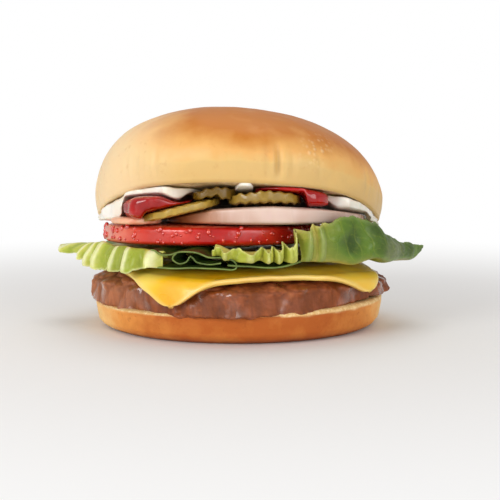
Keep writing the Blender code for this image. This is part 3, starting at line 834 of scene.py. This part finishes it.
def makeOnion():
    def place(angle, reach, level):
        span = (onion["radius"] + 0.5 * math.sin(3.0 * angle + 0.4)) * reach
        x, y = onCircle(onion["centre"], span, angle)
        z = mix(tomatoTop(x, y) + layers["gap"], onionTop(x, y), 0.5 + 0.5 * level)
        groove = 0.0
        if abs(level) > 0.9 and reach < 0.93:
            groove = math.exp(-((span / onion["ringWidth"] % 1.0 - 0.5) / 0.09) ** 2)
        z -= onion["grooveDepth"] * groove * math.copysign(1.0, level)
        swell = 0.12 * wobble(x, y, 0.3 * z, 6.0, 1.0) + 0.05
        # the left part is painted brownish: partly juice stain, partly painted shade and reflected ketchup
        # and pickle colour
        stain = softStep(4.0, -18.0, x + 0.8 * (z - tomatoTop(x, y)))
        return pushedOut(x, y, z, swell, angle, reach), (groove, stain)

    bm = roundBody(slabProfile(60, 8.0), 200, place, ("groove", "stain"))
    material, tree, shader = newMaterial("onion")
    coords = objectCoords(tree)
    fibres = noiseOf(tree, objectCoords(tree, (1.0, 1.0, 0.1)), 420.0, 2.0, 0.5)
    drift = noiseOf(tree, coords, 60.0, 2.0, 0.5)
    base = rampOf(tree, drift, [(0.35, onion["pink"]), (0.6, onion["white"])])
    base = blend(tree, rangeOf(tree, fibres, 0.5, 0.68, 0.0, 0.4), base, srgb(222, 192, 184))
    base = tintMark(tree, "groove", 0.5, base, srgb(190, 150, 150))
    # stain with painted shade and reflection on the left part
    base = blend(tree, markOf(tree, "stain"), base, onion["stain"])
    paint(tree, shader, base)
    setSurface(shader, 0.3, 0.5, 0.18, 3.0, (1.0, 0.8, 0.75))
    addGloss(tree, shader, 80.0, 0.2, 0.4)
    addBump(tree, shader, fibres, 0.12, 0.3)
    return addPiece("onionSlice", bm, material, ["onion_slice"])


makeTomato()
makeDroplets()
makeOnion()
print("tomato and onion made")


pickle = {"wave": 3.1, "depth": 0.5, "leftCentre": (-18.3, -31.8), "leftRadius": 12.4,
          "skin": srgb(112, 92, 20), "flesh": srgb(214, 172, 70), "olive": srgb(172, 128, 28),
          "shadowOlive": srgb(104, 76, 14)}


def leftPickleTop(x, y):
    return leftPickleMiddle(x, y) + 1.4


def leftKetchupTop(x, y):
    flat = min(47.2 - 0.13 * (y + 44.0), bunTopCut(x, y) - 1.6)
    return mix(leftPickleTop(x, y) + 1.2, flat, softStep(17.0, 25.0, -x))


def rightPickleTop(x, y):
    high = bunTopCut(x, y) - mix(1.75, 1.35, softStep(4.0, 8.0, x))
    return mix(onionTop(x, y) + 0.35, high, mix(0.86, 0.95, softStep(0.0, 10.0, x)))


def middlePickleTop(x, y):
    low = leftPickleTop(x, y) + 0.35
    return max(low + 0.6, min(low + 3.0, bunTopCut(x, y) - 0.35))


def middlePickleLow(x, y):
    # it hangs down past the end of the slice below
    return mix(leftPickleTop(x, y) + 0.2, 45.0, softStep(-6.6, -4.4, x))


def makePickle(name, node, centre, radius, lobes, bottom, top, waveTurn, waveShare, shade, material):
    def place(angle, reach, level):
        x, y = onCircle(centre, (radius + 0.3 * math.sin(lobes * angle)) * reach, angle)
        across = x * math.cos(waveTurn) + y * math.sin(waveTurn)
        ridge = math.sin(math.tau * across / pickle["wave"] + 1.2 * wobble(x, y, 0.0, 6.0, 2.0))
        ridge *= 0.8 + 0.6 * wobble(x, y, 0.0, 4.0, 7.0)
        low = bottom(x, y) + 0.25
        high = top(x, y) - 0.15
        z = mix(low, high, 0.5 + 0.5 * level) + pickle["depth"] * waveShare * ridge
        swell = 0.12 * wobble(x, y, z, 2.0, 3.0) + 0.10 * ridge * abs(level)
        rind = softStep(0.9, 0.97, reach) * (1.0 - softStep(0.75, 0.98, abs(level)))
        return pushedOut(x, y, z, swell, angle, reach), (rind, 0.5 + 0.5 * ridge * level, shade)

    bm = roundBody(slabProfile(40, 7.0), 150, place, ("rind", "ridge", "shade"))
    return addPiece(name, bm, material, [node])


def makePickles():
    material, tree, shader = newMaterial("pickle")
    coords = objectCoords(tree)
    drift = noiseOf(tree, coords, 150.0, 3.0, 0.55)
    specks = noiseOf(tree, coords, 600.0, 3.0, 0.6)
    flesh = rampOf(tree, drift, [(0.35, pickle["olive"]), (0.6, pickle["flesh"])])
    # painted highlight: the crests of the crinkles are paler than the troughs
    flesh = tintMark(tree, "ridge", 0.35, flesh, srgb(226, 196, 104))
    rind = blend(tree, rangeOf(tree, specks, 0.4, 0.65), pickle["skin"], srgb(150, 124, 40))
    skinned = tintMark(tree, "rind", 0.5, flesh, rind)
    # painted shadow: the middle and right chips are darkened toward olive brown by their shade mark
    paint(tree, shader, blend(tree, markOf(tree, "shade"), skinned, pickle["shadowOlive"]))
    setSurface(shader, 0.25, 0.5, 0.15, 1.5, (0.8, 1.0, 0.3))
    addGloss(tree, shader, 160.0, 0.14, 0.4)
    addBump(tree, shader, specks, 0.15, 0.25)
    makePickle("pickleLeft", "pickle_left", pickle["leftCentre"], pickle["leftRadius"], 6.0,
               lambda x, y: leftPickleMiddle(x, y) - 1.7, leftPickleTop, 0.5, 0.35, 0.0, material)
    makePickle("pickleMiddle", "pickle_middle", (-7.4, -35.8), 6.7, 5.0,
               middlePickleLow, middlePickleTop, 0.2, 0.6, 0.9, material)
    makePickle("pickleRight", "pickle_right", (8.6, -34.8), 11.4, 7.0,
               lambda x, y: onionTop(x, y) + 0.6, rightPickleTop, 0.0, 0.6, 0.4, material)


makePickles()
print("pickles made")


sauce = {"red": srgb(184, 6, 4), "redDeep": srgb(146, 2, 2), "white": srgb(250, 244, 234),
         "cream": srgb(244, 234, 216), "peach": srgb(240, 196, 160), "rose": srgb(222, 140, 104)}


def makeSauceMaterial(name, light, deep, wettest, driest, sub):
    material, tree, shader = newMaterial(name)
    coords = objectCoords(tree)
    drift = noiseOf(tree, coords, 110.0, 3.0, 0.5)
    paint(tree, shader, rampOf(tree, drift, [(0.35, deep), (0.6, light)]))
    setSurface(shader, 0.2, 0.5, sub, 1.5, (1.0, 0.6, 0.5), 0.2, 0.08)
    addGloss(tree, shader, 120.0, wettest, driest)
    addBump(tree, shader, drift, 0.2, 0.5)
    return material


def makeSauce(name, node, centre, radius, bottom, top, sharpness, lump, material,
              segments=150, steps=50):
    def place(angle, reach, level):
        x, y = onCircle(centre, radius(angle) * reach, angle)
        z = mix(bottom(x, y), top(x, y), 0.5 + 0.5 * level)
        rim = softStep(0.8, 1.0, reach)
        swell = lump * (wobble(x, y, z, 5.0, 1.0) + 0.5 * wobble(x, y, z, 2.4, 2.0)) * rim
        z += 0.25 * swell * (1.0 - rim)
        return Vector((x + swell * math.cos(angle), y + swell * math.sin(angle), z)), ()

    bm = roundBody(slabProfile(steps, sharpness), segments, place)
    return addPiece(name, bm, material, [node] if node else ())


def mayonnaiseReach(angle):
    turn = math.degrees(angle)
    front = softStep(-119.0, -105.5, turn) * (1.0 - softStep(-58.0, -42.0, turn))
    tongue = math.exp(-((turn + 87.0) / 5.0) ** 4)
    side = 48.3 + 0.4 * math.sin(7.0 * angle) + 0.3 * math.sin(4.0 * angle + 1.0)
    return mix(side, mix(24.0, 48.0, tongue), front)


def mayonnaiseBottom(x, y):
    thin = bunTopCut(x, y) - 1.2
    reach = math.hypot(x, y)
    low = thin
    if x < -12.0:
        overKetchup = min(thin, leftKetchupTop(x, y) + 0.1)
        overTomato = min(thin, tomatoTop(x, y) + 0.1)
        low = mix(thin, overKetchup, softStep(34.0, 41.0, reach) * softStep(12.5, 20.0, -x))
        low = mix(low, overTomato, softStep(36.0, 38.5, -x))
    elif x > 12.0:
        overOnion = min(thin, onionTop(x, y) + 0.1 - 3.0 * softStep(42.0, 45.0, x))
        low = mix(thin, overOnion, softStep(26.5, 32.5, x))
    # it fills down to whichever slice lies below, onion or tomato
    besideOnion = softStep(34.0, 37.0, distanceTo(onion["centre"], x, y))
    besideTomato = softStep(36.0, 38.0, distanceTo(tomato["centre"], x, y))
    slices = mix(onionTop(x, y), tomatoTop(x, y), besideOnion)
    return mix(low, min(low, slices), softStep(2.0, 9.0, y) * (1.0 - besideTomato))


def makeSauces():
    red = makeSauceMaterial("ketchup", sauce["red"], sauce["redDeep"], 0.08, 0.3, 0.1)
    white = makeSauceMaterial("mayonnaise", sauce["white"], sauce["cream"], 0.2, 0.42, 0.18)

    def leftLow(x, y):
        away = distanceTo(pickle["leftCentre"], x, y) - pickle["leftRadius"]
        beside = max(softStep(31.0, 34.0, -x), softStep(0.2, 2.0, away) * softStep(28.5, 31.0, -x))
        return mix(leftPickleTop(x, y) + 0.1, tomatoTop(x, y) + 1.5, beside)

    def rightLow(x, y):
        return mix(rightPickleTop(x, y) + 0.1, onionTop(x, y) + 0.3, softStep(20.6, 22.5, x))

    def leftReach(angle):
        return 10.9 + 0.6 * math.sin(3.0 * angle + 1.0) + 0.4 * math.sin(5.0 * angle)

    def rightReach(angle):
        return 9.6 + 2.2 * math.cos(2.0 * angle) + 0.5 * math.sin(3.0 * angle)

    def mayonnaiseTop(x, y):
        return bunTopCut(x, y) + 0.5 * softStep(44.0, 47.5, math.hypot(x, y))

    makeSauce("ketchupLeft", "ketchup_left", (-26.0, -33.0), leftReach,
              leftLow, leftKetchupTop, 3.4, 0.6, red)
    stained = makeSauceMaterial("stainedCream", sauce["peach"], sauce["rose"], 0.2, 0.42, 0.18)
    makeSauce("stainedCream", None, (-33.0, -29.5), lambda a: 8.0 + 0.5 * math.sin(3.0 * a),
              tomatoTop, lambda x, y: tomatoTop(x, y) + 2.6, 4.0, 0.5, stained)
    makeSauce("ketchupRight", "ketchup_right", (17.2, -35.4), rightReach,
              rightLow, lambda x, y: bunTopCut(x, y) + 0.1, 4.0, 0.5, red)
    makeSauce("mayonnaiseLayer", "mayonnaise", (0.0, 0.0), mayonnaiseReach,
              mayonnaiseBottom, mayonnaiseTop, 6.0, 1.0, white, 420, 60)


makeSauces()
print("sauces made")


# eye in millimetres, pitch in degrees below level, powers in watts
studio = {"eye": (3.9, -418.0, 70.0), "pitch": 6.15, "lens": 86.4, "floorSize": 4000.0,
          "shadowEdge": (0.09, 0.32), "keyPower": 2.7, "fillPower": 2.6, "topPower": 1.5, "worldPower": 0.55}
plainWhite = (1.0, 1.0, 1.0, 1.0)


def makeStage():
    bm = bmesh.new()
    bmesh.ops.create_grid(bm, x_segments=1, y_segments=1, size=studio["floorSize"])
    bmesh.ops.scale(bm, vec=(mm, mm, mm), verts=bm.verts)
    mesh = bpy.data.meshes.new("floor")
    bm.to_mesh(mesh)
    bm.free()
    floor = bpy.data.objects.new("floor", mesh)
    bpy.context.scene.collection.objects.link(floor)
    material, tree, shader = newMaterial("floorPaper")
    shader.inputs["Base Color"].default_value = srgb(236, 234, 232)
    setSurface(shader, 0.8, 0.1)
    # the floor keeps the shadow near the food and fades to plain white further out, for the camera only
    spot = addNode(tree, "ShaderNodeTexCoord").outputs["Object"]
    away = addNode(tree, "ShaderNodeVectorMath", {"operation": "LENGTH"}, {0: spot}).outputs["Value"]
    far = rangeOf(tree, away, *studio["shadowEdge"])
    share = mathOf(tree, "MULTIPLY", far, addNode(tree, "ShaderNodeLightPath").outputs["Is Camera Ray"])
    glow = addNode(tree, "ShaderNodeEmission", None, {"Color": plainWhite, "Strength": 1.0})
    inputs = {0: share, 1: shader.outputs["BSDF"], 2: glow.outputs["Emission"]}
    mixed = addNode(tree, "ShaderNodeMixShader", None, inputs)
    tree.links.new(mixed.outputs["Shader"], tree.nodes["Material Output"].inputs["Surface"])
    mesh.materials.append(material)


def addLamp(name, place, aim, size, power):
    light = bpy.data.lights.new(name, "AREA")
    light.size = size
    light.energy = power
    lamp = bpy.data.objects.new(name, light)
    lamp.location = place
    lamp.rotation_euler = (Vector(aim) - Vector(place)).to_track_quat("-Z", "Y").to_euler()
    bpy.context.scene.collection.objects.link(lamp)


def makeCamera():
    data = bpy.data.cameras.new("camera")
    data.lens = studio["lens"]
    data.sensor_width = 36.0
    data.clip_start = 0.01
    camera = bpy.data.objects.new("camera", data)
    camera.location = Vector(studio["eye"]) * mm
    camera.rotation_euler = (math.radians(90.0 - studio["pitch"]), 0.0, 0.0)
    bpy.context.scene.collection.objects.link(camera)
    bpy.context.scene.camera = camera


def makeWorld():
    world = bpy.data.worlds.new("studio")
    bpy.context.scene.world = world
    world.use_nodes = True
    tree = world.node_tree
    light = tree.nodes["Background"]
    light.inputs["Color"].default_value = plainWhite
    light.inputs["Strength"].default_value = studio["worldPower"]
    seen = addNode(tree, "ShaderNodeBackground", None, {"Color": plainWhite, "Strength": 1.0}).outputs[0]
    forCamera = addNode(tree, "ShaderNodeLightPath").outputs["Is Camera Ray"]
    mixed = addNode(tree, "ShaderNodeMixShader", None, {0: forCamera, 1: light.outputs[0], 2: seen})
    tree.links.new(mixed.outputs["Shader"], tree.nodes["World Output"].inputs["Surface"])


makeStage()
makeCamera()
addLamp("keyLamp", (-0.5, -0.55, 0.26), (0.0, 0.0, 0.035), 0.35, studio["keyPower"])
addLamp("fillLamp", (0.45, -0.65, 0.10), (0.0, 0.0, 0.035), 0.5, studio["fillPower"])
addLamp("topLamp", (0.05, 0.15, 0.75), (0.0, 0.0, 0.03), 0.5, studio["topPower"])
makeWorld()
bpy.context.scene.view_settings.view_transform = "Standard"
print("stage made")
